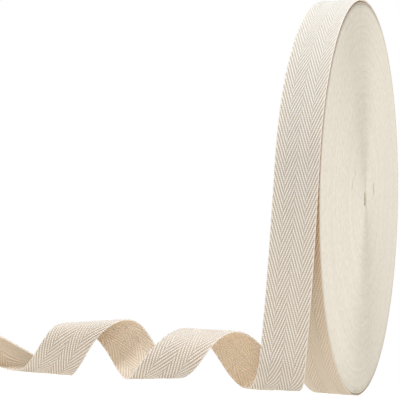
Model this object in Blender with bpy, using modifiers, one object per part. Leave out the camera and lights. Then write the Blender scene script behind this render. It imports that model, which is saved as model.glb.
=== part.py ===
# Roll of cotton herringbone tape, standing on its rim. The end of the tape lifts off
# near the top, hangs down in front and curls away to the left in loose turns.
#
# Metres, +Z up. The roll's axis lies along X, its open face looks to +X, and the tape
# hangs on the -Y side. The origin is the middle of the small flat spot under the rim.

import math
from collections import namedtuple

import bpy
import bmesh
from mathutils import Vector

MM = 0.001

# Tape and roll
TAPE_WIDTH = 20.0 * MM
TAPE_THICKNESS = 1.0 * MM
ROLL_RADIUS = 98.6 * MM                     # at the end of the outer turn, just behind the top
PIECE_GAP = 0.3 * MM
LAYER_STEP = TAPE_THICKNESS + PIECE_GAP     # how far the rim drops where the outer turn lifts off
EDGE_ROUNDING = 0.6 * MM
FLAT_SPOT = 16.0 * MM                       # length of the flat on which the roll stands
PEEL_ANGLE = 8.0                            # degrees behind the top where the outer turn lifts off
ROLL_STEPS = 120

# Face of the roll from the eye outwards: the tape's edges stand a little proud or sunk
FaceBand = namedtuple("FaceBand", "place radius proud")
FACE_CENTRE_SUNK = -1.6 * MM
FACE_BANDS = (
    FaceBand("eye", 3.0 * MM, -1.4 * MM),
    FaceBand("first turns", 6.5 * MM, 0.3 * MM),
    FaceBand("inner turns", 24.0 * MM, 0.0 * MM),
    FaceBand("middle turns", 52.0 * MM, 0.3 * MM),
    FaceBand("outer turns", 76.0 * MM, 0.0 * MM),
    FaceBand("last turns", 92.0 * MM, 0.2 * MM),
)

# Loose end: the stretch that lies on the roll, then hangs, then curls
FRONT_GAP = 1.6 * MM                        # how far the tape stands off the rim in front
STRIP_STEP = 3.0 * MM                       # spacing of the rulings on the roll and while hanging
CURL_STEP = 9.0                            # degrees of curl between two rulings
LEAN_START = 3.0                            # power by which the hanging tape starts to lean late

# One row for each half turn of the curls. Angle 0 faces the front and 90 is under the
# curl. The core is the line on which the turns are wound: x, y and z place it, radius is
# the tape's distance from it, swing turns it in plan and tilt lifts its left end.
CurlRow = namedtuple("CurlRow", "place angle x y z radius swing tilt")
CURL_ROWS = (
    CurlRow("end of the hang", 0.0, -1.3, -87.0, 13.6, 12.9, 1.0, 0.0),
    CurlRow("first foot", 90.0, -8.5, -87.8, 11.9, 11.1, 7.0, -2.4),
    CurlRow("first crest", 270.0, -32.6, -96.8, 11.9, 11.3, 10.5, -0.3),
    CurlRow("second foot", 450.0, -55.8, -106.6, 13.2, 11.4, 11.9, -5.6),
    CurlRow("second crest", 630.0, -82.8, -101.6, 12.9, 11.0, 4.0, -6.7),
    CurlRow("third foot", 810.0, -112.9, -92.4, 11.2, 10.7, -3.2, -0.5),
    CurlRow("third crest", 990.0, -165.9, -90.1, 7.3, 13.4, -36.8, 8.4),
    CurlRow("tape's end", 1155.0, -181.5, -72.7, 10.9, 10.5, -31.3, 0.0),
)

COTTON = (0.80, 0.74, 0.64)
COTTON_EDGES = (0.78, 0.71, 0.60)


def clear_scene():
    for item in list(bpy.data.objects):
        bpy.data.objects.remove(item, do_unlink=True)


def make_material(name, colour, roughness):
    material = bpy.data.materials.new(name)
    material.use_nodes = True
    shader = material.node_tree.nodes["Principled BSDF"]
    shader.inputs["Base Color"].default_value = (*colour, 1.0)
    shader.inputs["Roughness"].default_value = roughness
    shader.inputs["Metallic"].default_value = 0.0
    return material


def add_piece(name, mesh, material, collection):
    mesh.materials.append(material)
    mesh.shade_smooth()
    mesh.set_sharp_from_angle(angle=math.radians(40.0))
    piece = bpy.data.objects.new(name, mesh)
    collection.objects.link(piece)
    return piece


# The roll

def rim_radius(wound):
    """Radius of the rim, wound degrees along the tape from where the outer turn lifts off."""
    return ROLL_RADIUS - LAYER_STEP * (1.0 - wound / 360.0)


def roll_height():
    """Height of the roll's axis, with the flat spot cut at its real length."""
    return math.sqrt(rim_radius(180.0 + PEEL_ANGLE) ** 2 - (FLAT_SPOT / 2.0) ** 2)


def roll_point(x, radius, wound):
    """Point on the roll: wound runs from the peel line over the top and down the front."""
    turned = math.radians(wound - PEEL_ANGLE)
    return Vector((x, -radius * math.sin(turned), roll_height() + radius * math.cos(turned)))


def face_rings(bm, side):
    """Rings of the face's bands on one side, with the eye's middle point."""
    middle = bm.verts.new(roll_point(side * (TAPE_WIDTH / 2.0 + FACE_CENTRE_SUNK), 0.0, 0.0))
    rings = []
    for band in FACE_BANDS:
        x = side * (TAPE_WIDTH / 2.0 + band.proud)
        ring = [bm.verts.new(roll_point(x, band.radius, 360.0 * step / ROLL_STEPS))
                for step in range(ROLL_STEPS)]
        rings.append(ring)
    return middle, rings


def rim_line(bm, x, inset):
    """One line round the rim, open at the step where the outer turn lifts off."""
    line = []
    for step in range(ROLL_STEPS + 1):
        wound = 360.0 * step / ROLL_STEPS
        line.append(bm.verts.new(roll_point(x, rim_radius(wound) - inset, wound)))
    return line


def build_roll(material, collection):
    """Wound disc: two faces of tape edges, a spiral rim and the step of one layer."""
    bm = bmesh.new()
    flat_half = TAPE_WIDTH / 2.0 - EDGE_ROUNDING
    lines = {}
    for side in (1, -1):
        lines[side] = (rim_line(bm, side * TAPE_WIDTH / 2.0, EDGE_ROUNDING),
                       rim_line(bm, side * flat_half, 0.0))
        middle, rings = face_rings(bm, side)
        corner, crown = lines[side]
        for step in range(ROLL_STEPS):
            after = (step + 1) % ROLL_STEPS
            bm.faces.new((middle, rings[0][step], rings[0][after]))
            for inner, outer in zip(rings, rings[1:]):
                bm.faces.new((inner[step], outer[step], outer[after], inner[after]))
            border = [rings[-1][step], corner[step], corner[step + 1], rings[-1][after]]
            if after == 0:
                border.insert(3, corner[0])
            bm.faces.new(border)
            bm.faces.new((corner[step], crown[step], crown[step + 1], corner[step + 1]))
    near, far = lines[1], lines[-1]
    for step in range(ROLL_STEPS):
        bm.faces.new((near[1][step], far[1][step], far[1][step + 1], near[1][step + 1]))
    across = (near[0], near[1], far[1], far[0])
    for first, second in zip(across, across[1:]):
        bm.faces.new((first[0], second[0], second[-1], first[-1]))
    for vert in bm.verts:
        vert.co.z = max(vert.co.z, 0.0)
    bmesh.ops.recalc_face_normals(bm, faces=bm.faces)
    mesh = bpy.data.meshes.new("tape_roll")
    bm.to_mesh(mesh)
    bm.free()
    return add_piece("tape_roll", mesh, material, collection)


# The loose end

def blend(start, end, start_slope, end_slope, part):
    """Cubic from start to end, with slopes given for the whole span."""
    square, cube = part * part, part * part * part
    return ((2 * cube - 3 * square + 1) * start + (cube - 2 * square + part) * start_slope
            + (3 * square - 2 * cube) * end + (cube - square) * end_slope)


def row_slope(index, column):
    """Change of a column for each degree: none where the tape still hangs plumb, then
    smoothed over a row's two neighbours."""
    def rise(first):
        here, after = CURL_ROWS[first], CURL_ROWS[first + 1]
        return (getattr(after, column) - getattr(here, column)) / (after.angle - here.angle)
    if index == 0:
        return 0.0
    if index == len(CURL_ROWS) - 1:
        return rise(index - 1)
    before = CURL_ROWS[index].angle - CURL_ROWS[index - 1].angle
    after = CURL_ROWS[index + 1].angle - CURL_ROWS[index].angle
    return (rise(index - 1) * after + rise(index) * before) / (before + after)


def curl_value(column, angle):
    index = 0
    while index < len(CURL_ROWS) - 2 and angle >= CURL_ROWS[index + 1].angle:
        index += 1
    here, after = CURL_ROWS[index], CURL_ROWS[index + 1]
    span = after.angle - here.angle
    return blend(getattr(here, column), getattr(after, column),
                 row_slope(index, column) * span, row_slope(index + 1, column) * span,
                 (angle - here.angle) / span)


def curl_ruling(angle):
    """Middle of the tape and the direction of its straight ruling, at one curl angle."""
    swing = math.radians(curl_value("swing", angle))
    tilt = math.radians(curl_value("tilt", angle))
    turned = math.radians(angle)
    level = Vector((-math.cos(swing), -math.sin(swing), 0.0))
    forward = Vector((math.sin(swing), -math.cos(swing), 0.0))
    up = Vector((0.0, 0.0, 1.0))
    ruling = math.cos(tilt) * level + math.sin(tilt) * up
    raised = math.cos(tilt) * up - math.sin(tilt) * level
    core = Vector([curl_value(axis, angle) * MM for axis in "xyz"])
    radius = curl_value("radius", angle) * MM
    return core + radius * (math.cos(turned) * forward - math.sin(turned) * raised), ruling


def strip_on_roll():
    """Rulings of the stretch that lies on the roll, from the peel line to the front."""
    reach = 90.0 + PEEL_ANGLE
    first = math.degrees(PIECE_GAP * 1.5 / ROLL_RADIUS)
    count = round(math.radians(reach) * ROLL_RADIUS / STRIP_STEP)
    rulings = []
    for step in range(count + 1):
        wound = first + (reach - first) * step / count
        gap = PIECE_GAP + (FRONT_GAP - PIECE_GAP) * (wound / reach) ** 2
        radius = rim_radius(wound) + gap + TAPE_THICKNESS / 2.0
        rulings.append((roll_point(0.0, radius, wound), Vector((-1.0, 0.0, 0.0))))
    return rulings


def hanging_strip(top, foot, foot_ruling):
    """Rulings between the roll's front and the curls: plumb, with a lean that starts late."""
    count = round((top - foot).length / STRIP_STEP)
    rulings = []
    for step in range(1, count):
        part = step / count
        lean = part ** LEAN_START
        ruling = Vector((-1.0, 0.0, 0.0)).lerp(foot_ruling, lean).normalized()
        forward = blend(top.y, foot.y, 0.0, 0.0, part)
        height = top.z + (foot.z - top.z) * part
        rulings.append((Vector((lean * foot.x, forward, height)), ruling))
    return rulings


def loose_end_rulings():
    laid = strip_on_roll()
    last_angle = CURL_ROWS[-1].angle
    count = round(last_angle / CURL_STEP)
    curls = [curl_ruling(last_angle * step / count) for step in range(count + 1)]
    hang = hanging_strip(laid[-1][0], *curls[0])
    return laid + hang + curls


def build_loose_end(material, collection):
    """Ruled strip of constant width, thickened on both sides."""
    rulings = loose_end_rulings()
    bm = bmesh.new()
    rows = []
    for index, (middle, ruling) in enumerate(rulings):
        before = rulings[max(index - 1, 0)][0]
        after = rulings[min(index + 1, len(rulings) - 1)][0]
        along = (after - before).normalized()
        slant = math.sqrt(1.0 - along.dot(ruling) ** 2)
        half = ruling * (TAPE_WIDTH / 2.0 / slant)
        rows.append([bm.verts.new(middle + half * side) for side in (-1, 0, 1)])
    for row, following in zip(rows, rows[1:]):
        for column in range(2):
            bm.faces.new((row[column], following[column], following[column + 1], row[column + 1]))
    mesh = bpy.data.meshes.new("loose_end_sheet")
    bm.to_mesh(mesh)
    bm.free()
    sheet = bpy.data.objects.new("loose_end_sheet", mesh)
    collection.objects.link(sheet)
    wall = sheet.modifiers.new("Thickness", "SOLIDIFY")
    wall.thickness = TAPE_THICKNESS
    wall.offset = 0.0
    wall.use_even_offset = True
    depsgraph = bpy.context.evaluated_depsgraph_get()
    thick = bpy.data.meshes.new_from_object(sheet.evaluated_get(depsgraph))
    bpy.data.objects.remove(sheet, do_unlink=True)
    thick.name = "loose_end"
    for vert in thick.vertices:
        vert.co.z = max(vert.co.z, 0.0)
    return add_piece("loose_end", thick, material, collection)


def main():
    clear_scene()
    collection = bpy.data.collections.new("cotton_tape_roll")
    bpy.context.scene.collection.children.link(collection)
    build_roll(make_material("cotton tape edges", COTTON_EDGES, 0.95), collection)
    build_loose_end(make_material("cotton tape", COTTON, 0.9), collection)


main()
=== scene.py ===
# Roll of undyed cotton herringbone tape, standing on its rim on a white table. The end of
# the tape lifts off near the top, hangs down in front and curls away along the table.
#
# Metres, +Z up. The roll's axis lies along X and the tape hangs on the -Y side.

import math
from collections import namedtuple

import bmesh
import bpy
import numpy as np
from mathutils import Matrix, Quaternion, Vector


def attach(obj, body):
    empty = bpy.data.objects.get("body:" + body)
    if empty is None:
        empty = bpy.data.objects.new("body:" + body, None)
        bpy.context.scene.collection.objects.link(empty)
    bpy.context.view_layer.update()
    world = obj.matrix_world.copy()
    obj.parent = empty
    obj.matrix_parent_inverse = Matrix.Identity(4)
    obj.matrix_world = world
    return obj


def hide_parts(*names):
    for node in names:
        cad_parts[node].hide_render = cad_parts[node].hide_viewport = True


mm = 0.001

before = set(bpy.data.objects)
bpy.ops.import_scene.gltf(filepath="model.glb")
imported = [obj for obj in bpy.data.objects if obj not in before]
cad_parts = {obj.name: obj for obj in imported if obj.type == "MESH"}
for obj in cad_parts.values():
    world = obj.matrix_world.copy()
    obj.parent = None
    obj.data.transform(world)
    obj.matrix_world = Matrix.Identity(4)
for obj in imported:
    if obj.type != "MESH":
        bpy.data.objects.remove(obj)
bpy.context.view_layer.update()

tape = {
    "width": 19.4 * mm,
    "thickness": 0.65 * mm,
    "stripes": 4,
    "endsPerStripe": 16,            # warp ends in one stripe of the herringbone
    "selvedgeEnds": 2,              # woven plain along each edge
    "pickSpacing": 0.83 * mm,
    "ridgeHeight": 0.16 * mm,       # how far a warp float stands above the cloth's middle
    "yarnUneven": 0.012 * mm,
    "selvedgeLoop": 0.07 * mm,      # how far the weft loops out at every second pick
    "selvedgeRounding": 0.72,       # the outermost ends' share of the thickness
    "paintedTopLight": (0.4, 0.9),         # rise of the outward line where painted top light starts, and is fullest
}

roll = {
    "radius": 98.6 * mm,            # at the end of the outer turn, just behind the top
    "layerStep": 1.3 * mm,          # how far the rim drops where the outer turn lifts off
    "flatSpot": 16.0 * mm,
    "peelAngle": 8.0,               # degrees behind the top where the outer turn lifts off
    "outerTurnEnd": 360.25,         # where the outer turn meets the loose end, flush
    "outerTurnPicks": 740,          # a multiple of the twill's repeat, so the weave runs on
    "seed": 5,                      # of the outer turn's uneven yarns
    # how much painted light and shade the rim gets behind the hanging tape, which keeps light off
    # it, at these angles
    "paintedLightAngles": (30.0, 60.0, 95.0, 112.0, 130.0, 180.0, 200.0),
    "paintedLightLevel": (0.0, 0.6, 1.0, 1.0, 0.55, 0.4, 0.0),
}


# Small helpers

def hexColour(code):
    def linear(value):
        return value / 12.92 if value <= 0.04045 else ((value + 0.055) / 1.055) ** 2.4
    return (*[linear(int(code[i:i + 2], 16) / 255.0) for i in (1, 3, 5)], 1.0)


def addNode(tree, kind, inputs=None, **settings):
    node = tree.nodes.new(kind)
    for name, value in settings.items():
        setattr(node, name, value)
    for socket, value in (inputs or {}).items():
        if isinstance(value, bpy.types.NodeSocket):
            tree.links.new(value, node.inputs[socket])
        else:
            node.inputs[socket].default_value = value
    return node


def newTree(name, sockets):
    tree = bpy.data.node_groups.new(name, "GeometryNodeTree")
    tree.interface.new_socket(name="Geometry", in_out="INPUT", socket_type="NodeSocketGeometry")
    for socket, kind in sockets.items():
        tree.interface.new_socket(name=socket, in_out="INPUT", socket_type=kind)
    tree.interface.new_socket(name="Geometry", in_out="OUTPUT", socket_type="NodeSocketGeometry")
    return tree


def applyTree(name, mesh, tree, values):
    # the modifier's inputs are set before the object joins the scene and is first evaluated
    piece = bpy.data.objects.new(name, mesh)
    modifier = piece.modifiers.new(tree.name, "NODES")
    modifier.node_group = tree
    for socket in tree.interface.items_tree:
        if socket.in_out == "INPUT" and socket.name in values:
            modifier[socket.identifier] = values[socket.name]
    bpy.context.scene.collection.objects.link(piece)
    depsgraph = bpy.context.evaluated_depsgraph_get()
    made = bpy.data.meshes.new_from_object(piece.evaluated_get(depsgraph))
    piece.modifiers.clear()
    piece.data = made
    made.name = name
    return piece


def endTree(tree, moved, material):
    smooth = addNode(tree, "GeometryNodeSetShadeSmooth", {0: moved.outputs[0]})
    real = addNode(tree, "GeometryNodeRealizeInstances", {0: smooth.outputs[0]})
    done = addNode(tree, "GeometryNodeSetMaterial", {"Geometry": real.outputs[0],
                                                     "Material": material})
    addNode(tree, "NodeGroupOutput", {0: done.outputs[0]})
    return tree


def unit(vectors):
    return vectors / np.linalg.norm(vectors, axis=-1, keepdims=True)


# The roll's shape

def rimRadius(wound):
    return roll["radius"] - roll["layerStep"] * (1.0 - wound / 360.0)


def rollHeight():
    return math.sqrt(rimRadius(180.0 + roll["peelAngle"]) ** 2 - (roll["flatSpot"] / 2.0) ** 2)


def rollPoint(x, radius, wound):
    # wound runs from the peel line over the top, down the front and round the back
    turned = np.radians(wound - roll["peelAngle"])
    x, radius, turned = np.broadcast_arrays(x, radius, turned)
    return np.stack([x, -radius * np.sin(turned), rollHeight() + radius * np.cos(turned)], axis=-1)


# The loose end's route: on the roll, hanging plumb, then in loose curls on the table.
# The core is the line on which the curls are wound. Angle 0 faces the front and 90 is
# under the curl; swing turns the core in plan and tilt lifts its left end.

CurlRow = namedtuple("CurlRow", "place angle x y z radius swing tilt")

looseEnd = {
    "pieceGap": 0.3 * mm,           # between the roll and the loose end near the top
    "startGaps": 1.5,               # from the peel line to the first pick, in such gaps
    "frontGap": 1.6 * mm,           # the same in front
    "solidThickness": 1.0 * mm,     # of the solid whose outer side the tape keeps
    "leanStart": 3.0,               # power by which the hanging tape starts to lean late
    "curls": (
        CurlRow("end of the hang", 0.0, -1.3, -87.0, 13.6, 12.9, 1.0, 0.0),
        CurlRow("first foot", 90.0, -8.5, -87.8, 11.9, 11.1, 7.0, -2.4),
        CurlRow("first crest", 270.0, -32.6, -96.8, 11.9, 11.3, 10.5, -0.3),
        CurlRow("second foot", 450.0, -55.8, -106.6, 13.2, 11.4, 11.9, -5.6),
        CurlRow("second crest", 630.0, -82.8, -101.6, 12.9, 11.0, 4.0, -6.7),
        CurlRow("third foot", 810.0, -112.9, -92.4, 11.2, 10.7, -3.2, -0.5),
        CurlRow("third crest", 990.0, -165.9, -90.1, 7.3, 13.4, -36.8, 8.4),
        CurlRow("tape's end", 1155.0, -181.5, -72.7, 10.9, 10.5, -31.3, 0.0),
    ),
    # how much painted light and shade the curls' inner side gets, where the curls keep light off
    # it, at these angles of the curl
    "paintedLightAngles": (0.0, 90.0, 150.0, 330.0, 440.0, 520.0, 700.0, 810.0, 870.0, 930.0),
    "paintedLightLevel": (0.05, 0.05, 0.45, 0.54, 0.05, 0.3, 0.45, 0.1, 0.2, 0.3),
    "laidSamples": 160,
    "hangSamples": 90,
    "curlSamples": 700,
    "settlingRounds": 24,           # in which the picks settle straight across the tape
    "seed": 3,                      # of its uneven yarns
}


def cubic(start, end, startSlope, endSlope, part):
    square, cube = part ** 2, part ** 3
    return ((2 * cube - 3 * square + 1) * start + (cube - 2 * square + part) * startSlope
            + (3 * square - 2 * cube) * end + (cube - square) * endSlope)


def rowSlope(index, column):
    # change for each degree: none where the tape still hangs plumb, then smoothed
    rows = looseEnd["curls"]

    def rise(first):
        here, after = rows[first], rows[first + 1]
        return (getattr(after, column) - getattr(here, column)) / (after.angle - here.angle)

    if index == 0:
        return 0.0
    if index == len(rows) - 1:
        return rise(index - 1)
    before = rows[index].angle - rows[index - 1].angle
    after = rows[index + 1].angle - rows[index].angle
    return (rise(index - 1) * after + rise(index) * before) / (before + after)


def curlValue(column, angle):
    rows = looseEnd["curls"]
    index = 0
    while index < len(rows) - 2 and angle >= rows[index + 1].angle:
        index += 1
    here, after = rows[index], rows[index + 1]
    span = after.angle - here.angle
    return cubic(getattr(here, column), getattr(after, column), rowSlope(index, column) * span,
                 rowSlope(index + 1, column) * span, (angle - here.angle) / span)


def curlRuling(angle):
    swing = math.radians(curlValue("swing", angle))
    tilt = math.radians(curlValue("tilt", angle))
    turned = math.radians(angle)
    level = np.array([-math.cos(swing), -math.sin(swing), 0.0])
    forward = np.array([math.sin(swing), -math.cos(swing), 0.0])
    up = np.array([0.0, 0.0, 1.0])
    ruling = math.cos(tilt) * level + math.sin(tilt) * up
    raised = math.cos(tilt) * up - math.sin(tilt) * level
    core = np.array([curlValue(axis, angle) * mm for axis in "xyz"])
    radius = curlValue("radius", angle) * mm
    return core + radius * (math.cos(turned) * forward - math.sin(turned) * raised), ruling


def looseRoute():
    # middle points, rulings and the angle of the curl, which is 0 where the tape still hangs
    reach = 90.0 + roll["peelAngle"]
    first = math.degrees(looseEnd["pieceGap"] * looseEnd["startGaps"] / roll["radius"])
    wound = np.linspace(first, reach, looseEnd["laidSamples"])
    slack = looseEnd["frontGap"] - looseEnd["pieceGap"]
    gap = looseEnd["pieceGap"] + slack * (wound / reach) ** 2
    laid = rollPoint(0.0, rimRadius(wound) + gap + looseEnd["solidThickness"] / 2.0, wound)
    laidRulings = np.tile([-1.0, 0.0, 0.0], (len(laid), 1))

    lastAngle = looseEnd["curls"][-1].angle
    turned = np.linspace(0.0, lastAngle, looseEnd["curlSamples"])
    curled = [curlRuling(angle) for angle in turned]
    curls = np.array([point for point, ruling in curled])
    curlRulings = np.array([ruling for point, ruling in curled])

    top, foot = laid[-1], curls[0]
    part = np.linspace(0.0, 1.0, looseEnd["hangSamples"] + 2)[1:-1]
    lean = part ** looseEnd["leanStart"]
    hang = np.stack([lean * foot[0], cubic(top[1], foot[1], 0.0, 0.0, part),
                     top[2] + (foot[2] - top[2]) * part], axis=-1)
    plumb = np.array([-1.0, 0.0, 0.0])
    hangRulings = unit(plumb + (curlRulings[0] - plumb) * lean[:, None])
    return (np.concatenate([laid, hang, curls]),
            unit(np.concatenate([laidRulings, hangRulings, curlRulings])),
            np.concatenate([np.zeros(len(laid) + len(hang)), turned]))


# Cloth: one row of points for each pick and one column for each warp end

def endCount():
    return tape["stripes"] * tape["endsPerStripe"]


def endPlaces():
    # across the tape: left edge, the middle of each warp end, right edge
    spacing = tape["width"] / endCount()
    middles = (np.arange(endCount()) + 0.5) * spacing - tape["width"] / 2.0
    return np.concatenate([[-tape["width"] / 2.0], middles, [tape["width"] / 2.0]])


def clothMesh(name, middle, along, paintedLightInside, paintedLightOutside):
    # middle: rows x columns of points. The section is a closed ring of points: the outer
    # side from left to right, the right edge, the inner side back, the left edge.
    rows, columns = middle.shape[:2]
    ends = columns - 2
    outward = unit(np.cross(np.gradient(middle, axis=0), np.gradient(middle, axis=1)))
    sideways = unit(middle[:, 1:] - middle[:, :-1])
    half = np.full(ends, tape["thickness"] / 2.0)
    half[[0, -1]] *= tape["selvedgeRounding"]
    outer = middle[:, 1:-1] + outward[:, 1:-1] * half[None, :, None]
    inner = middle[:, 1:-1] - outward[:, 1:-1] * half[None, :, None]
    loops = (np.arange(rows) % 2 * tape["selvedgeLoop"])[:, None]
    rightEdge = middle[:, -1] + sideways[:, -1] * loops
    leftEdge = middle[:, 0] - sideways[:, 0] * loops
    ring = np.concatenate([outer, rightEdge[:, None], inner[:, ::-1], leftEdge[:, None]], axis=1)
    size = ring.shape[1]

    numbers = np.arange(ends)
    ringEnds = np.concatenate([numbers, [ends], numbers[::-1], [-1]])
    ringSides = np.concatenate([np.ones(ends), [0], -np.ones(ends), [0]])

    # triangles split along the twill's ridges, which lean right in every even stripe
    row, place = np.meshgrid(np.arange(rows - 1), np.arange(size), indexing="ij")
    a = row * size + place
    b = row * size + (place + 1) % size
    c, d = b + size, a + size
    stripe = np.clip(ringEnds, 0, ends - 1) // tape["endsPerStripe"]
    rising = ((stripe % 2 == 0) == (ringSides > 0))[place]
    first = np.where(rising[..., None], np.stack([a, d, c], -1), np.stack([a, d, b], -1))
    second = np.where(rising[..., None], np.stack([a, c, b], -1), np.stack([d, c, b], -1))
    faces = np.concatenate([first.reshape(-1, 3), second.reshape(-1, 3)]).tolist()

    outerAt = numbers
    innerAt = size - 2 - numbers
    rightAt, leftAt = ends, size - 1
    for start, turnRound in ((0, False), ((rows - 1) * size, True)):
        cap = [[outerAt[i], outerAt[i + 1], innerAt[i + 1], innerAt[i]] for i in range(ends - 1)]
        cap += [[outerAt[-1], rightAt, innerAt[-1]], [outerAt[0], innerAt[0], leftAt]]
        faces += [[int(start + k) for k in (face[::-1] if turnRound else face)] for face in cap]

    mesh = bpy.data.meshes.new(name)
    mesh.from_pydata(ring.reshape(-1, 3).tolist(), [], faces)

    weave = np.zeros((rows, size, 3))
    weave[..., 0] = ringEnds
    weave[..., 1] = np.arange(rows)[:, None]
    weave[..., 2] = np.abs(ringSides)
    outwardRing = np.concatenate([outward[:, 1:-1], outward[:, -1:], outward[:, -2:0:-1],
                                  outward[:, :1]], axis=1)
    for label, values in (("weave", weave), ("outward", outwardRing)):
        layer = mesh.attributes.new(label, "FLOAT_VECTOR", "POINT")
        layer.data.foreach_set("vector", values.reshape(-1).astype(np.float32))
    # painted light and shade: above 0 where the cloth is sheltered from light,
    # and down to -0.5, a painted highlight, where it faces upwards
    shade = np.where(ringSides[None, :] < 0, paintedLightInside[:, None], paintedLightOutside[:, None])
    upward = np.interp(outwardRing[..., 2], tape["paintedTopLight"], (0.0, 0.5))
    shade = np.where(ringSides[None, :] > 0, shade - upward, shade)
    shade = np.where(ringSides[None, :] == 0, 0.0, shade)
    layer = mesh.attributes.new("paintedLight", "FLOAT", "POINT")
    layer.data.foreach_set("value", shade.reshape(-1).astype(np.float32))

    # the tape's own map, in widths: across from 0 to 1, and along
    across = np.clip((ringEnds + 0.5) / ends, 0.0, 1.0)
    uv = np.stack([np.tile(across, (rows, 1)), np.tile(along[:, None] / tape["width"], (1, size))],
                  axis=-1).reshape(-1, 2)
    corners = np.empty(len(mesh.loops), dtype=np.int32)
    mesh.loops.foreach_get("vertex_index", corners)
    mesh.uv_layers.new(name="tapeMap").data.foreach_set("uv", uv[corners].reshape(-1))
    return mesh


def addTwill(tree, end, pick, stripe):
    # 1 where the warp is on top: two ends over, two under. Even stripes step with the pick
    # and odd ones against it, half a repeat apart.
    stripe = addNode(tree, "ShaderNodeMath", {0: stripe}, operation="FLOOR")
    odd = addNode(tree, "ShaderNodeMath", {0: stripe.outputs[0], 1: 2.0},
                  operation="FLOORED_MODULO")
    way = addNode(tree, "ShaderNodeMath", {0: odd.outputs[0], 1: 2.0, 2: -1.0},
                  operation="MULTIPLY_ADD")
    shift = addNode(tree, "ShaderNodeMath", {0: odd.outputs[0], 1: 3.0, 2: pick},
                    operation="MULTIPLY_ADD")
    phase = addNode(tree, "ShaderNodeMath", {0: end, 1: way.outputs[0], 2: shift.outputs[0]},
                    operation="MULTIPLY_ADD")
    repeat = addNode(tree, "ShaderNodeMath", {0: phase.outputs[0], 1: 4.0},
                     operation="FLOORED_MODULO")
    over = addNode(tree, "ShaderNodeMath", {0: repeat.outputs[0], 1: 1.5}, operation="LESS_THAN")
    return over.outputs[0]


def herringboneTree(material):
    # lifts each crossing where the warp is on top and sinks it where the weft is
    tree = newTree("herringbone relief", {
        "Ends per Stripe": "NodeSocketFloat", "Last End": "NodeSocketFloat",
        "Selvedge Ends": "NodeSocketFloat", "Ridge Height": "NodeSocketFloat",
        "Yarn Uneven": "NodeSocketFloat", "Seed": "NodeSocketInt"})
    given = addNode(tree, "NodeGroupInput").outputs
    weave = addNode(tree, "GeometryNodeInputNamedAttribute", {"Name": "weave"},
                    data_type="FLOAT_VECTOR")
    split = addNode(tree, "ShaderNodeSeparateXYZ", {0: weave.outputs[0]}).outputs
    end, pick, side = split
    stripe = addNode(tree, "ShaderNodeMath", {0: end, 1: given["Ends per Stripe"]},
                     operation="DIVIDE")
    twill = addTwill(tree, end, pick, stripe.outputs[0])

    fromRight = addNode(tree, "ShaderNodeMath", {0: given["Last End"], 1: end},
                        operation="SUBTRACT")
    toEdge = addNode(tree, "ShaderNodeMath", {0: end, 1: fromRight.outputs[0]},
                     operation="MINIMUM")
    selvedge = addNode(tree, "ShaderNodeMath", {0: toEdge.outputs[0], 1: given["Selvedge Ends"]},
                       operation="LESS_THAN")
    crossing = addNode(tree, "ShaderNodeMath", {0: end, 1: pick}, operation="ADD")
    plain = addNode(tree, "ShaderNodeMath", {0: crossing.outputs[0], 1: 2.0},
                    operation="FLOORED_MODULO")
    over = addNode(tree, "ShaderNodeMix", {0: selvedge.outputs[0], 2: twill,
                                           3: plain.outputs[0]})
    signed = addNode(tree, "ShaderNodeMath", {0: over.outputs[0], 1: 2.0, 2: -1.0},
                     operation="MULTIPLY_ADD")
    uneven = addNode(tree, "FunctionNodeRandomValue", {"Seed": given["Seed"]})
    uneven = addNode(tree, "ShaderNodeMath", {0: uneven.outputs[1], 1: given["Yarn Uneven"]},
                     operation="MULTIPLY")
    height = addNode(tree, "ShaderNodeMath", {0: signed.outputs[0], 1: given["Ridge Height"],
                                              2: uneven.outputs[0]}, operation="MULTIPLY_ADD")
    height = addNode(tree, "ShaderNodeMath", {0: height.outputs[0], 1: side},
                     operation="MULTIPLY")
    outward = addNode(tree, "GeometryNodeInputNamedAttribute", {"Name": "outward"},
                      data_type="FLOAT_VECTOR")
    lift = addNode(tree, "ShaderNodeVectorMath", {0: outward.outputs[0], 3: height.outputs[0]},
                   operation="SCALE")
    moved = addNode(tree, "GeometryNodeSetPosition", {"Geometry": given["Geometry"],
                                                      "Offset": lift.outputs[0]})
    return endTree(tree, moved, material)


def weaveCloth(name, mesh, tree, seed):
    piece = applyTree(name, mesh, tree, {
        "Ends per Stripe": float(tape["endsPerStripe"]), "Last End": endCount() - 1.0,
        "Selvedge Ends": float(tape["selvedgeEnds"]), "Ridge Height": tape["ridgeHeight"],
        "Yarn Uneven": tape["yarnUneven"], "Seed": seed})
    points = np.empty(len(piece.data.vertices) * 3, dtype=np.float32)
    piece.data.vertices.foreach_get("co", points)
    points[2::3] = np.maximum(points[2::3], 0.0)             # pressed flat by the table
    piece.data.vertices.foreach_set("co", points)
    piece.data.update()
    return piece


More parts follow.
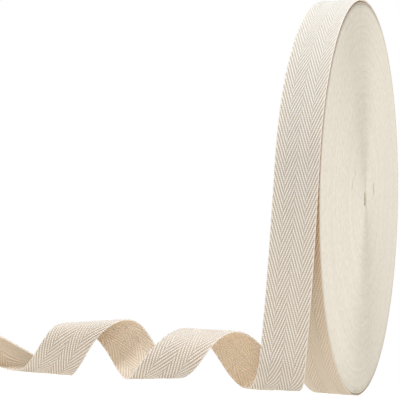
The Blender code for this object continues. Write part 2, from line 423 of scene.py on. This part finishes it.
def buildLooseEnd(tree):
    route, rulings, turned = looseRoute()
    steps = np.linalg.norm(np.diff(route, axis=0), axis=1)
    length = np.concatenate([[0.0], np.cumsum(steps)])
    tangents = unit(np.gradient(route, axis=0))
    slant = np.sum(tangents * rulings, axis=1)
    slope = slant / np.sqrt(1.0 - slant ** 2)
    shift = (looseEnd["solidThickness"] - tape["thickness"]) / 2.0 - tape["ridgeHeight"]
    route = route + unit(np.cross(rulings, tangents)) * shift

    # a pick runs straight across the flat tape, so on the slanted rulings of the curls
    # each of its points belongs to another ruling
    across = endPlaces()
    reserve = tape["width"] / 2.0 * abs(slope[-1])
    count = int((length[-1] - reserve) / tape["pickSpacing"])
    along = np.arange(count + 1) * tape["pickSpacing"]
    place = np.tile(along[:, None], (1, len(across)))
    for attempt in range(looseEnd["settlingRounds"]):
        wanted = along[:, None] + across[None, :] * np.interp(place, length, slope)
        place = 0.5 * (place + np.clip(wanted, 0.0, length[-1]))
    here = [np.interp(place, length, route[:, axis]) for axis in range(3)]
    ruling = np.stack([np.interp(place, length, rulings[:, axis]) for axis in range(3)], axis=-1)
    lean = np.sqrt(1.0 + np.interp(place, length, slope) ** 2)
    middle = np.stack(here, axis=-1) - ruling * (across[None, :] * lean)[..., None]

    # painted light and shade on the curls' inner side, at each pick
    paintedLight = np.interp(np.interp(along, length, turned), looseEnd["paintedLightAngles"],
                          looseEnd["paintedLightLevel"])
    mesh = clothMesh("cotton_tape_loose_end", middle, along, paintedLight, np.zeros(count + 1))
    piece = weaveCloth("cotton_tape_loose_end", mesh, tree, looseEnd["seed"])
    print("loose end:", count, "picks,", round(along[-1] * 1000), "mm long")
    return piece, along[-1]


def buildOuterTurn(tree):
    picks = roll["outerTurnPicks"]
    wound = np.linspace(0.0, roll["outerTurnEnd"], picks + 1)
    radius = rimRadius(wound) - tape["ridgeHeight"] - tape["thickness"] / 2.0
    middle = rollPoint(endPlaces()[None, :], radius[:, None], wound[:, None])
    along = np.arange(picks + 1) * tape["pickSpacing"] - picks * tape["pickSpacing"]
    # painted shade on the rim behind the hanging tape, at each pick
    paintedLight = np.interp(wound, roll["paintedLightAngles"], roll["paintedLightLevel"])
    mesh = clothMesh("roll_outer_turn", middle, along, np.zeros(picks + 1), paintedLight)
    piece = weaveCloth("roll_outer_turn", mesh, tree, roll["seed"])
    print("outer turn:", picks, "picks")
    return piece


# The wound turns under the outer one: the tape on edge, from the eye to the rim

turns = {
    "pitch": 0.65 * mm,
    "gap": 0.04 * mm,               # between two turns
    "eyeRadius": 3.2 * mm,          # the first turn, round the folded start of the tape
    "foldRadius": 1.35 * mm,        # the free half of the S in which the tape starts
    "looseTurns": 4.0,              # the last turns are wound a little looser
    "looseBy": 0.25 * mm,
    "crown": 0.17 * mm,             # how far a tape edge is rounded
    "edgeUneven": 0.16 * mm,        # how far turns stand proud of or behind one another
    "waves": 1.7,                   # ups and downs of one edge in each turn
    "stepsInside": 24,              # steps in the first turn
    "stepsOutside": 140,            # steps in the last turn
    "eyeDepth": 6.0 * mm,           # how deep the eye is open on either side
    "eyeSides": 20,
    "foldSteps": 14,                # in each half of the S
    "foldTurns": (-0.6, -0.02),     # turn numbers along the S, before the first turn's 0
    "partedOver": 4.0 * mm,         # how far a parting fades into the turns beside it
    "slippedOver": 1.1 * mm,        # the same for edges that have slipped
}

# How far the turns stand out towards the open face, at each radius
FaceBand = namedtuple("FaceBand", "place radius proud")
faceBands = (
    FaceBand("eye", 3.0 * mm, -0.5 * mm),
    FaceBand("first turns", 5.5 * mm, 0.25 * mm),
    FaceBand("inner turns", 24.0 * mm, 0.0),
    FaceBand("middle turns", 52.0 * mm, 0.15 * mm),
    FaceBand("outer turns", 76.0 * mm, 0.0),
)

# Places where two turns have parted a little and their edges have slipped inwards: angle
# from the peel line, radius, width of the parting, how far they slipped, reach in degrees
LooseSpot = namedtuple("LooseSpot", "angle radius opening slip reach")
looseSpots = (
    LooseSpot(302.0, 22.5 * mm, 0.80 * mm, 2.6 * mm, 6.0),
    LooseSpot(285.0, 29.0 * mm, 0.40 * mm, 1.2 * mm, 2.0),
    LooseSpot(97.0, 33.0 * mm, 0.30 * mm, 1.1 * mm, 2.5),
    LooseSpot(84.0, 28.0 * mm, 0.30 * mm, 0.8 * mm, 2.5),
    LooseSpot(98.0, 62.0 * mm, 0.30 * mm, 1.5 * mm, 0.7),
    LooseSpot(205.0, 60.0 * mm, 0.25 * mm, 0.5 * mm, 1.5),
)


def woundPath():
    # polar route of the wound tape: turn number, radius and angle from the peel line
    outside = rimRadius(0.0) - tape["ridgeHeight"] - tape["thickness"] / 2.0
    slackSum = turns["looseBy"] * turns["looseTurns"] / 2.0
    total = (outside - turns["eyeRadius"] - slackSum) / turns["pitch"]
    growth = (turns["stepsOutside"] - turns["stepsInside"]) / (2.0 * total)
    steps = int(turns["stepsInside"] * total + growth * total ** 2)
    index = np.arange(steps + 1) * (turns["stepsInside"] * total + growth * total ** 2) / steps
    start = turns["stepsInside"]
    turn = (np.sqrt(start ** 2 + 4.0 * growth * index) - start) / (2.0 * growth)
    late = np.clip(turn - (total - turns["looseTurns"]), 0.0, None)
    radius = (turns["eyeRadius"] + turns["pitch"] * turn
              + turns["looseBy"] * late ** 2 / (2.0 * turns["looseTurns"]))
    angle = 360.0 * (turn - total)
    for spot in looseSpots:
        away = (angle - spot.angle + 180.0) % 360.0 - 180.0
        apart = radius - spot.radius
        fade = np.exp(-np.abs(apart) / turns["partedOver"]) * np.exp(-(away / spot.reach) ** 2)
        radius = radius + np.where(apart < 0.0, -0.5, 0.5) * spot.opening * fade
    return turn, radius, angle


def foldPath(startAngle):
    # the tape starts in an S across the eye and runs into the first turn
    steps = turns["foldSteps"]
    towards = math.radians(startAngle - roll["peelAngle"])
    ahead = np.array([-math.sin(towards), math.cos(towards)])      # y, z of the first turn
    beside = np.array([-math.cos(towards), -math.sin(towards)])    # the way the tape winds
    points = []
    free, joined = turns["foldRadius"], turns["eyeRadius"] / 2.0
    for step in range(steps):
        swept = math.pi * step / steps
        points.append(ahead * (-free - free * math.cos(swept)) + beside * (free * math.sin(swept)))
    for step in range(steps):
        swept = math.pi * step / steps
        points.append(ahead * (joined - joined * math.cos(swept))
                      - beside * (joined * math.sin(swept)))
    return np.array(points)


def woundTree(material):
    # sweeps the tape's section along its route and lets the edges stand unevenly
    tree = newTree("wound turns", {
        "Half Width": "NodeSocketFloat", "Half Thickness": "NodeSocketFloat",
        "Crown": "NodeSocketFloat", "Uneven": "NodeSocketFloat", "Waves": "NodeSocketFloat"})
    given = addNode(tree, "NodeGroupInput").outputs
    route = addNode(tree, "GeometryNodeMeshToCurve", {"Mesh": given["Geometry"]})
    route = addNode(tree, "GeometryNodeSetCurveNormal", {"Curve": route.outputs[0],
                                                         "Normal": (1.0, 0.0, 0.0)}, mode="FREE")
    # the section: a hexagon, its tips pulled out to the tape's edges
    hexagon = addNode(tree, "GeometryNodeCurvePrimitiveCircle", {"Resolution": 6, "Radius": 1.0})
    place = addNode(tree, "GeometryNodeInputPosition")
    split = addNode(tree, "ShaderNodeSeparateXYZ", {0: place.outputs[0]}).outputs
    size = addNode(tree, "ShaderNodeMath", {0: split[0]}, operation="ABSOLUTE")
    tip = addNode(tree, "ShaderNodeMath", {0: size.outputs[0], 1: 2.0, 2: -2.0},
                  operation="MULTIPLY_ADD")
    out = addNode(tree, "ShaderNodeMath", {0: tip.outputs[0], 1: given["Crown"],
                                           2: given["Half Width"]}, operation="MULTIPLY_ADD")
    facing = addNode(tree, "ShaderNodeMath", {0: split[0]}, operation="SIGN")
    out = addNode(tree, "ShaderNodeMath", {0: out.outputs[0], 1: facing.outputs[0]},
                  operation="MULTIPLY")
    wall = addNode(tree, "ShaderNodeMath", {0: split[1], 1: math.sin(math.radians(60.0))},
                   operation="DIVIDE")
    wall = addNode(tree, "ShaderNodeMath", {0: wall.outputs[0], 1: given["Half Thickness"]},
                   operation="MULTIPLY")
    shaped = addNode(tree, "ShaderNodeCombineXYZ", {0: out.outputs[0], 1: wall.outputs[0]})
    section = addNode(tree, "GeometryNodeSetPosition", {"Geometry": hexagon.outputs[0],
                                                        "Position": shaped.outputs[0]})
    swept = addNode(tree, "GeometryNodeCurveToMesh", {"Curve": route.outputs[0],
                                                      "Profile Curve": section.outputs[0],
                                                      "Fill Caps": True})
    turn = addNode(tree, "GeometryNodeInputNamedAttribute", {"Name": "turn"}, data_type="FLOAT")
    proud = addNode(tree, "GeometryNodeInputNamedAttribute", {"Name": "proud"}, data_type="FLOAT")
    noise = addNode(tree, "ShaderNodeTexNoise", {"W": turn.outputs[0], "Scale": given["Waves"],
                                                 "Detail": 3.0}, noise_dimensions="1D")
    centred = addNode(tree, "ShaderNodeMath", {0: noise.outputs[0], 1: 0.5},
                      operation="SUBTRACT")
    doubled = addNode(tree, "ShaderNodeMath", {0: centred.outputs[0], 1: 2.0},
                      operation="MULTIPLY")
    out = addNode(tree, "ShaderNodeMath", {0: doubled.outputs[0], 1: given["Uneven"],
                                           2: proud.outputs[0]}, operation="MULTIPLY_ADD")
    offset = addNode(tree, "ShaderNodeCombineXYZ", {0: out.outputs[0]})
    moved = addNode(tree, "GeometryNodeSetPosition", {"Geometry": swept.outputs[0],
                                                      "Offset": offset.outputs[0]})
    return endTree(tree, moved, material)


def stopEye(piece):
    # the crumpled start of the tape fills the eye deep inside, so nothing shows through
    around = np.arange(turns["eyeSides"]) * 360.0 / turns["eyeSides"]
    half = tape["width"] / 2.0 - turns["eyeDepth"]
    mesh = bmesh.new()
    mesh.from_mesh(piece.data)
    left, right = [[mesh.verts.new(point) for point in rollPoint(x, turns["eyeRadius"], around)]
                   for x in (-half, half)]
    # lying deep in the eye, these faces get the edge material's darkest painted shade
    mesh.faces.new(right)
    mesh.faces.new(left[::-1])
    for i in range(turns["eyeSides"]):
        mesh.faces.new((left[i - 1], left[i], right[i], right[i - 1]))
    mesh.to_mesh(piece.data)
    mesh.free()


def buildWoundTurns(material):
    turn, radius, angle = woundPath()
    spiral = rollPoint(0.0, radius, angle)
    fold = foldPath(angle[0])
    start = np.column_stack([np.zeros(len(fold)), fold[:, 0], fold[:, 1] + rollHeight()])
    points = np.concatenate([start, spiral])
    turn = np.concatenate([np.linspace(*turns["foldTurns"], len(fold)), turn])
    radius = np.concatenate([np.full(len(fold), turns["eyeRadius"]), radius])
    proud = np.interp(radius, [band.radius for band in faceBands],
                      [band.proud for band in faceBands])
    around = np.concatenate([np.full(len(fold), angle[0]), angle])
    for spot in looseSpots:
        away = (around - spot.angle + 180.0) % 360.0 - 180.0
        apart = (radius - spot.radius) / turns["slippedOver"]
        slipped = np.exp(-apart ** 2 - (away / spot.reach) ** 2)
        proud = proud - spot.slip * slipped
    steps = np.linalg.norm(np.diff(points, axis=0), axis=1)
    along = np.concatenate([[0.0], np.cumsum(steps)])

    mesh = bpy.data.meshes.new("roll_wound_turns")
    edges = [(i, i + 1) for i in range(len(points) - 1)]
    mesh.from_pydata(points.tolist(), edges, [])
    for label, values in (("turn", turn), ("proud", proud), ("along", along / tape["width"])):
        layer = mesh.attributes.new(label, "FLOAT", "POINT")
        layer.data.foreach_set("value", values.astype(np.float32))
    piece = applyTree("roll_wound_turns", mesh, woundTree(material), {
        "Half Width": tape["width"] / 2.0,
        "Half Thickness": (turns["pitch"] - turns["gap"]) / 2.0,
        "Crown": turns["crown"], "Uneven": turns["edgeUneven"], "Waves": turns["waves"]})
    stopEye(piece)
    print("wound turns:", round(turn[-1]), "turns,", round(along[-1], 1), "m of tape")
    return piece


# Materials

def newCotton(name, roughness, specular, sheen):
    material = bpy.data.materials.new(name)
    material.use_nodes = True
    shader = material.node_tree.nodes["Principled BSDF"]
    shader.inputs["Roughness"].default_value = roughness
    shader.inputs["Specular IOR Level"].default_value = specular
    shader.inputs["Sheen Weight"].default_value = sheen
    shader.inputs["Sheen Roughness"].default_value = 0.6
    return material, material.node_tree, shader


def addYarnRound(tree, place, yarns):
    # 0 between two yarns and 1 on the crest of each
    wave = addNode(tree, "ShaderNodeMath", {0: place, 1: yarns * math.pi}, operation="MULTIPLY")
    wave = addNode(tree, "ShaderNodeMath", {0: wave.outputs[0]}, operation="SINE")
    wave = addNode(tree, "ShaderNodeMath", {0: wave.outputs[0]}, operation="ABSOLUTE")
    return wave.outputs[0]


clothFinish = {
    # the hollows, where the weft is on top, darkened with painted shade, and the floats of the
    # warp
    "shades": {
        "open": ("#cfc3ae", "#fbf7ef"),
        # painted warm bounce light inside the curls, also on the rim
        "inside the curls": ("#f4e1c6", "#fff3dc"),
        # painted brown shade in the narrow gap behind the hanging tape
        "behind the hanging tape": ("#dab68c", "#fbdcb0"),
        # painted highlight where the cloth faces upwards
        "facing upwards": ("#e6e0d3", "#f7f3ea"),
    },
    "paintedShadeBesideYarn": 0.86,             # painted shade between two yarns: brightness there, against their crests
    "paintedShadeBesidePick": 0.82,             # painted shade between two picks, the same way
    "yarnRelief": 0.06 * mm,
    "slubs": (70.0, 9.0, 1.0),      # in a tape's width, so each is 0.28 mm by 2.2 mm
    "slubShades": (0.96, 1.03),
    "slubRelief": 0.5,              # against the yarns' own
    # painted highlight along either edge, where the selvedge catches the light
    "selvedge": "#faf4ea",
    "selvedgeShare": 0.8,           # of that colour at the very edge
    "selvedgeFade": (1.6, 0.9),     # warp ends in from the edge, from none of it to all
    "throughTint": "#fdecd2",
    "throughShare": 0.36,           # of the light that comes through from the other side
}


def clothMaterial():
    # Undyed woven cotton: matt and slightly downy, cream on the floats and warmer in the hollows
    # between them, which are darkened with painted shade. Painted browner shade where the light
    # only comes off other cotton, and a painted paler highlight where it faces up. It lets some
    # warm light through.
    material, tree, shader = newCotton("undyed cotton herringbone", 0.92, 0.25, 0.12)

    uv = addNode(tree, "ShaderNodeUVMap", uv_map="tapeMap")
    split = addNode(tree, "ShaderNodeSeparateXYZ", {0: uv.outputs[0]}).outputs
    end = addNode(tree, "ShaderNodeMath", {0: split[0], 1: float(endCount())},
                  operation="MULTIPLY")
    pick = addNode(tree, "ShaderNodeMath", {0: split[1], 1: tape["width"] / tape["pickSpacing"],
                                            2: 0.5}, operation="MULTIPLY_ADD")
    endNumber = addNode(tree, "ShaderNodeMath", {0: end.outputs[0]}, operation="FLOOR")
    pickNumber = addNode(tree, "ShaderNodeMath", {0: pick.outputs[0]}, operation="FLOOR")
    stripe = addNode(tree, "ShaderNodeMath", {0: split[0], 1: float(tape["stripes"])},
                     operation="MULTIPLY")
    warpOver = addTwill(tree, endNumber.outputs[0], pickNumber.outputs[0], stripe.outputs[0])

    # yarns: round across the warp end where it floats, round across the pick elsewhere
    endRound = addYarnRound(tree, end.outputs[0], 1.0)
    pickRound = addYarnRound(tree, pick.outputs[0], 1.0)
    yarn = addNode(tree, "ShaderNodeMix", {0: warpOver, 2: pickRound, 3: endRound})
    fibres = addNode(tree, "ShaderNodeMapping", {0: uv.outputs[0], "Scale": clothFinish["slubs"]})
    slub = addNode(tree, "ShaderNodeTexNoise", {0: fibres.outputs[0], "Scale": 1.0,
                                                "Detail": 3.0})
    relief = addNode(tree, "ShaderNodeMath", {0: slub.outputs[0], 1: clothFinish["slubRelief"],
                                              2: yarn.outputs[0]}, operation="MULTIPLY_ADD")
    bump = addNode(tree, "ShaderNodeBump", {"Strength": 0.5, "Height": relief.outputs[0],
                                            "Distance": clothFinish["yarnRelief"]})
    tree.links.new(bump.outputs[0], shader.inputs["Normal"])

    # colour, with painted light and shade: the shades run from the painted highlight facing upward
    # at -0.5 through open at 0 and the curls' painted bounce light at 0.5 to the painted shade of
    # the narrow gap behind the hanging tape at 1
    weave = {place: addNode(tree, "ShaderNodeMix", {0: warpOver, 6: hexColour(low),
                                                    7: hexColour(high)}, data_type="RGBA")
             for place, (low, high) in clothFinish["shades"].items()}
    paintedLightLevel = addNode(tree, "ShaderNodeAttribute", attribute_name="paintedLight")
    inside = addNode(tree, "ShaderNodeMapRange", {0: paintedLightLevel.outputs["Fac"], 2: 0.5})
    behind = addNode(tree, "ShaderNodeMapRange", {0: paintedLightLevel.outputs["Fac"], 1: 0.5})
    upward = addNode(tree, "ShaderNodeMapRange", {0: paintedLightLevel.outputs["Fac"], 1: -0.5, 2: 0.0,
                                                  3: 1.0, 4: 0.0})
    colour = weave["open"].outputs[2]
    for part, place in ((upward, "facing upwards"), (inside, "inside the curls"),
                        (behind, "behind the hanging tape")):
        colour = addNode(tree, "ShaderNodeMix", {0: part.outputs[0], 6: colour,
                                                 7: weave[place].outputs[2]},
                         data_type="RGBA").outputs[2]
    # painted shade between two yarns and between two picks
    rounded = addNode(tree, "ShaderNodeMapRange", {0: yarn.outputs[0],
                                                   3: clothFinish["paintedShadeBesideYarn"], 4: 1.0})
    notched = addNode(tree, "ShaderNodeMapRange", {0: pickRound, 2: 0.7,
                                                   3: clothFinish["paintedShadeBesidePick"], 4: 1.0})
    rounded = addNode(tree, "ShaderNodeMath", {0: rounded.outputs[0], 1: notched.outputs[0]},
                      operation="MULTIPLY")
    darkest, palest = clothFinish["slubShades"]
    tone = addNode(tree, "ShaderNodeMapRange", {0: slub.outputs[0], 1: 0.3, 2: 0.7, 3: darkest,
                                                4: palest})
    tone = addNode(tree, "ShaderNodeMath", {0: tone.outputs[0], 1: rounded.outputs[0]},
                   operation="MULTIPLY")
    toned = addNode(tree, "ShaderNodeVectorMath", {0: colour, 3: tone.outputs[0]},
                    operation="SCALE")
    # painted highlight: the selvedge catches the light along either edge
    fromMiddle = addNode(tree, "ShaderNodeMath", {0: split[0], 1: 0.5}, operation="SUBTRACT")
    fromMiddle = addNode(tree, "ShaderNodeMath", {0: fromMiddle.outputs[0]}, operation="ABSOLUTE")
    none, full = clothFinish["selvedgeFade"]
    selvedge = addNode(tree, "ShaderNodeMapRange", {0: fromMiddle.outputs[0],
                                                    1: 0.5 - none / endCount(),
                                                    2: 0.5 - full / endCount(),
                                                    4: clothFinish["selvedgeShare"]})
    toned = addNode(tree, "ShaderNodeMix", {0: selvedge.outputs[0], 6: toned.outputs[0],
                                            7: hexColour(clothFinish["selvedge"])},
                    data_type="RGBA")
    tree.links.new(toned.outputs[2], shader.inputs["Base Color"])
    through = addNode(tree, "ShaderNodeMix", {0: 1.0, 6: toned.outputs[2],
                                              7: hexColour(clothFinish["throughTint"])},
                      data_type="RGBA", blend_type="MULTIPLY")
    through = addNode(tree, "ShaderNodeBsdfTranslucent", {"Color": through.outputs[2]})
    both = addNode(tree, "ShaderNodeMixShader", {0: clothFinish["throughShare"],
                                                 1: shader.outputs[0], 2: through.outputs[0]})
    tree.links.new(both.outputs[0], tree.nodes["Material Output"].inputs["Surface"])
    return material


edgeFinish = {
    "face": "#ebe3d3",
    "faceAt": 0.1 * mm,             # in from the roll's face
    # painted shade where an edge or a wall lies deeper than the face
    "paintedDeepShade": "#a5966f",
    "deepAt": 1.3 * mm,             # in from the roll's face, where little light comes in and the painted shade is darkest
    "shadesPerTurn": 1.3,
    "turnShades": (0.95, 1.03),
    "mottlesPerMetre": 420.0,       # one in 2.4 mm, or in about four turns
    "mottleShades": (0.93, 1.05),
    "loopRelief": 0.08 * mm,
}


def edgeMaterial():
    # The selvedges of the wound tape side by side: matt cotton, each turn a shade of its
    # own, with the weft's small loops along every edge.
    material, tree, shader = newCotton("wound cotton selvedges", 0.95, 0.2, 0.1)

    turn = addNode(tree, "ShaderNodeAttribute", attribute_name="turn")
    along = addNode(tree, "ShaderNodeAttribute", attribute_name="along")
    drift = addNode(tree, "ShaderNodeTexNoise", {"W": turn.outputs["Fac"], "Detail": 4.0,
                                                 "Scale": edgeFinish["shadesPerTurn"]},
                    noise_dimensions="1D")
    darkest, palest = edgeFinish["turnShades"]
    tone = addNode(tree, "ShaderNodeMapRange", {0: drift.outputs[0], 1: 0.3, 2: 0.7, 3: darkest,
                                                4: palest})
    # mottling, and painted shade, darker where an edge or a wall lies deeper than the face
    place = addNode(tree, "ShaderNodeTexCoord").outputs["Object"]
    mottle = addNode(tree, "ShaderNodeTexNoise", {0: place, "Detail": 3.0,
                                                  "Scale": edgeFinish["mottlesPerMetre"]})
    darkest, palest = edgeFinish["mottleShades"]
    mottle = addNode(tree, "ShaderNodeMapRange", {0: mottle.outputs[0], 1: 0.3, 2: 0.7,
                                                  3: darkest, 4: palest})
    split = addNode(tree, "ShaderNodeSeparateXYZ", {0: place}).outputs
    size = addNode(tree, "ShaderNodeMath", {0: split[0]}, operation="ABSOLUTE")
    face = tape["width"] / 2.0
    depth = addNode(tree, "ShaderNodeMapRange", {0: size.outputs[0],
                                                 1: face - edgeFinish["deepAt"],
                                                 2: face - edgeFinish["faceAt"]})
    tone = addNode(tree, "ShaderNodeMath", {0: tone.outputs[0], 1: mottle.outputs[0]},
                   operation="MULTIPLY")
    colour = addNode(tree, "ShaderNodeMix", {0: depth.outputs[0],
                                             6: hexColour(edgeFinish["paintedDeepShade"]),
                                             7: hexColour(edgeFinish["face"])},
                     data_type="RGBA")
    colour = addNode(tree, "ShaderNodeVectorMath", {0: colour.outputs[2], 3: tone.outputs[0]},
                     operation="SCALE")
    tree.links.new(colour.outputs[0], shader.inputs["Base Color"])

    loops = addYarnRound(tree, along.outputs["Fac"], tape["width"] / tape["pickSpacing"])
    bump = addNode(tree, "ShaderNodeBump", {"Strength": 0.4, "Height": loops,
                                            "Distance": edgeFinish["loopRelief"]})
    tree.links.new(bump.outputs[0], shader.inputs["Normal"])
    return material


# Table, light and camera

studio = {
    "tableRadius": 3.0,
    "tableSides": 96,
    "tableDrop": 0.02 * mm,
    "skyOverhead": 0.7,
    "skyAtSides": 0.55,
    "tableGrey": "#6e6e6e",
    "tableGlow": 1.05,              # its own light, by which it shows pure white
    "aimHeight": 90.0 * mm,         # of the point that every light is turned to
}


def buildStudio():
    # a brightly lit white table, too bright for shadows
    material = bpy.data.materials.new("white table")
    material.use_nodes = True
    shader = material.node_tree.nodes["Principled BSDF"]
    shader.inputs["Base Color"].default_value = hexColour(studio["tableGrey"])
    shader.inputs["Roughness"].default_value = 1.0
    shader.inputs["Specular IOR Level"].default_value = 0.0
    shader.inputs["Emission Color"].default_value = hexColour("#ffffff")
    shader.inputs["Emission Strength"].default_value = studio["tableGlow"]
    steps = studio["tableSides"]
    rim = [(studio["tableRadius"] * math.cos(2.0 * math.pi * i / steps),
            studio["tableRadius"] * math.sin(2.0 * math.pi * i / steps), -studio["tableDrop"])
           for i in range(steps)]
    mesh = bpy.data.meshes.new("white_table")
    mesh.from_pydata(rim, [], [list(range(steps))])
    mesh.materials.append(material)
    table = bpy.data.objects.new("white_table", mesh)
    bpy.context.scene.collection.objects.link(table)

    world = bpy.data.worlds.new("soft white room")
    bpy.context.scene.world = world
    world.use_nodes = True
    tree = world.node_tree
    tree.nodes.clear()
    place = addNode(tree, "ShaderNodeTexCoord")
    split = addNode(tree, "ShaderNodeSeparateXYZ", {0: place.outputs["Generated"]}).outputs
    height = addNode(tree, "ShaderNodeMapRange", {0: split[2], 1: 0.0, 2: 1.0,
                                                  3: studio["skyAtSides"],
                                                  4: studio["skyOverhead"]})
    lit = addNode(tree, "ShaderNodeBackground", {"Color": hexColour("#ffffff"),
                                                 "Strength": height.outputs[0]})
    seen = addNode(tree, "ShaderNodeBackground", {"Color": hexColour("#ffffff"),
                                                  "Strength": 1.0})
    path = addNode(tree, "ShaderNodeLightPath")
    both = addNode(tree, "ShaderNodeMixShader", {0: path.outputs["Is Camera Ray"],
                                                 1: lit.outputs[0], 2: seen.outputs[0]})
    addNode(tree, "ShaderNodeOutputWorld", {0: both.outputs[0]})


lights = {
    "overhead": {"place": (-0.05, -0.3, 0.8), "size": 0.3, "power": 5.5, "colour": "#eaf3ff"},
    "side": {"place": (0.9, 0.1, 0.35), "size": 0.6, "power": 0.1, "colour": "#ffffff"},
    "front": {"place": (0.15, -1.1, 0.15), "size": 0.8, "power": 4.4, "colour": "#fafcff"},
}


def buildLights():
    for name, facts in lights.items():
        light = bpy.data.lights.new(name, "AREA")
        light.shape = "SQUARE"
        light.size = facts["size"]
        light.energy = facts["power"]
        light.color = hexColour(facts["colour"])[:3]
        lamp = bpy.data.objects.new(name, light)
        lamp.location = facts["place"]
        aim = Vector((0.0, 0.0, studio["aimHeight"])) - lamp.location
        lamp.rotation_mode = "QUATERNION"
        lamp.rotation_quaternion = aim.to_track_quat("-Z", "Y")
        bpy.context.scene.collection.objects.link(lamp)


view = {
    "place": (112.95 * mm, -518.92 * mm, 5.55 * mm),
    "direction": (-0.34209, 0.92579, 0.16091),
    "roll": 4.25,                   # degrees that the camera is tipped to its left
    "lens": 94.95,
    "sensorWidth": 36.0,
    "nearest": 0.01,
    "farthest": 20.0,
}


def buildCamera():
    data = bpy.data.cameras.new("camera")
    data.lens = view["lens"]
    data.sensor_width = view["sensorWidth"]
    data.clip_start, data.clip_end = view["nearest"], view["farthest"]
    camera = bpy.data.objects.new("camera", data)
    camera.location = view["place"]
    camera.rotation_mode = "QUATERNION"
    level = Vector(view["direction"]).to_track_quat("-Z", "Y")
    camera.rotation_quaternion = level @ Quaternion((0.0, 0.0, 1.0), math.radians(view["roll"]))
    bpy.context.scene.collection.objects.link(camera)
    bpy.context.scene.camera = camera


# Making

buildCamera()
buildStudio()
buildLights()
print("camera, table and lights placed")
bpy.context.scene.view_settings.view_transform = "Standard"

cotton = clothMaterial()
weaveTree = herringboneTree(cotton)
hanging, cutLength = buildLooseEnd(weaveTree)
outerTurn = buildOuterTurn(weaveTree)
woundTurns = buildWoundTurns(edgeMaterial())

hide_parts("loose_end")
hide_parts("tape_roll")
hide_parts("tape_roll")
for piece, slot in ((hanging, "cotton_tape"), (outerTurn, "cotton_tape"),
                    (woundTurns, "tape_edges")):
    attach(piece, "root")

for piece in (hanging, outerTurn, woundTurns):
    triangles = sum(len(face.vertices) - 2 for face in piece.data.polygons)
    print(piece.name, triangles, "triangles")
